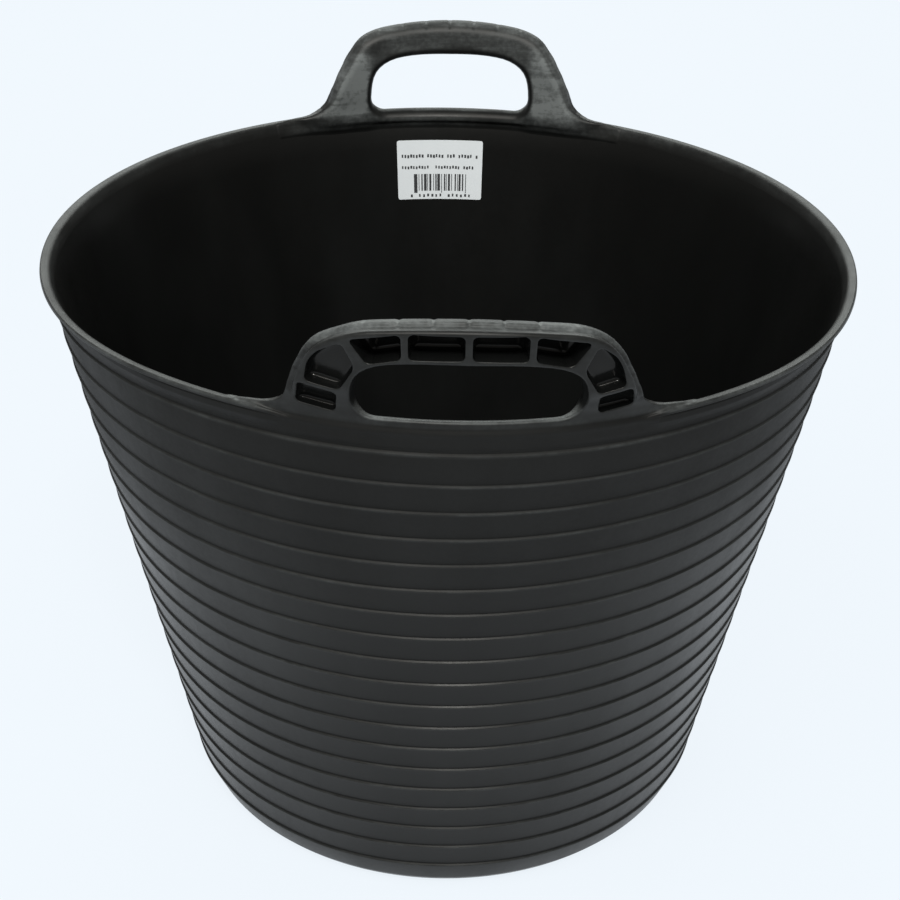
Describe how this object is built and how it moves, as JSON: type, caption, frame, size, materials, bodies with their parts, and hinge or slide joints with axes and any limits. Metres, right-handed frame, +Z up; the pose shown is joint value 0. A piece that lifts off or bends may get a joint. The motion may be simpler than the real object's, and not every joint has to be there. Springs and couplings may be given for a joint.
{
  "type": "flexible round bucket",
  "caption": "Round tapered flexible bucket with stepped rings outside, a flared lip and two loop handles that bend in and out at the rim.",
  "frame": {"origin": "centre of the underside of the base, on the floor", "axes": "+Z up; the two handles stand on the -Y (front) and +Y (back) sides of the rim; the label is inside the back wall"},
  "size_m": [0.4, 0.4132, 0.3555],
  "materials": {
    "tub_plastic": "soft black polyethylene, satin, with pale rub marks",
    "handle_plastic": "soft black polyethylene, satin, with pale rub marks",
    "label_paper": null
  },
  "bodies": {
    "root": {"tub": "tub_plastic", "barcode_label": "label_paper"},
    "handle_front": {"handle_front": "handle_plastic"},
    "handle_back": {"handle_back": "handle_plastic"}
  },
  "joints": [
    {"name": "front_handle_flex", "type": "hinge", "parent": "root", "child": "handle_front", "pos_m": [0.004, -0.18217, 0.312], "axis": [-1, 0, 0], "range_deg": [-20, 35], "stiffness_Nm_per_rad": 1.5},
    {"name": "back_handle_flex", "type": "hinge", "parent": "root", "child": "handle_back", "pos_m": [0.004, 0.18217, 0.312], "axis": [1, 0, 0], "range_deg": [-20, 35], "stiffness_Nm_per_rad": 1.5}
  ]
}
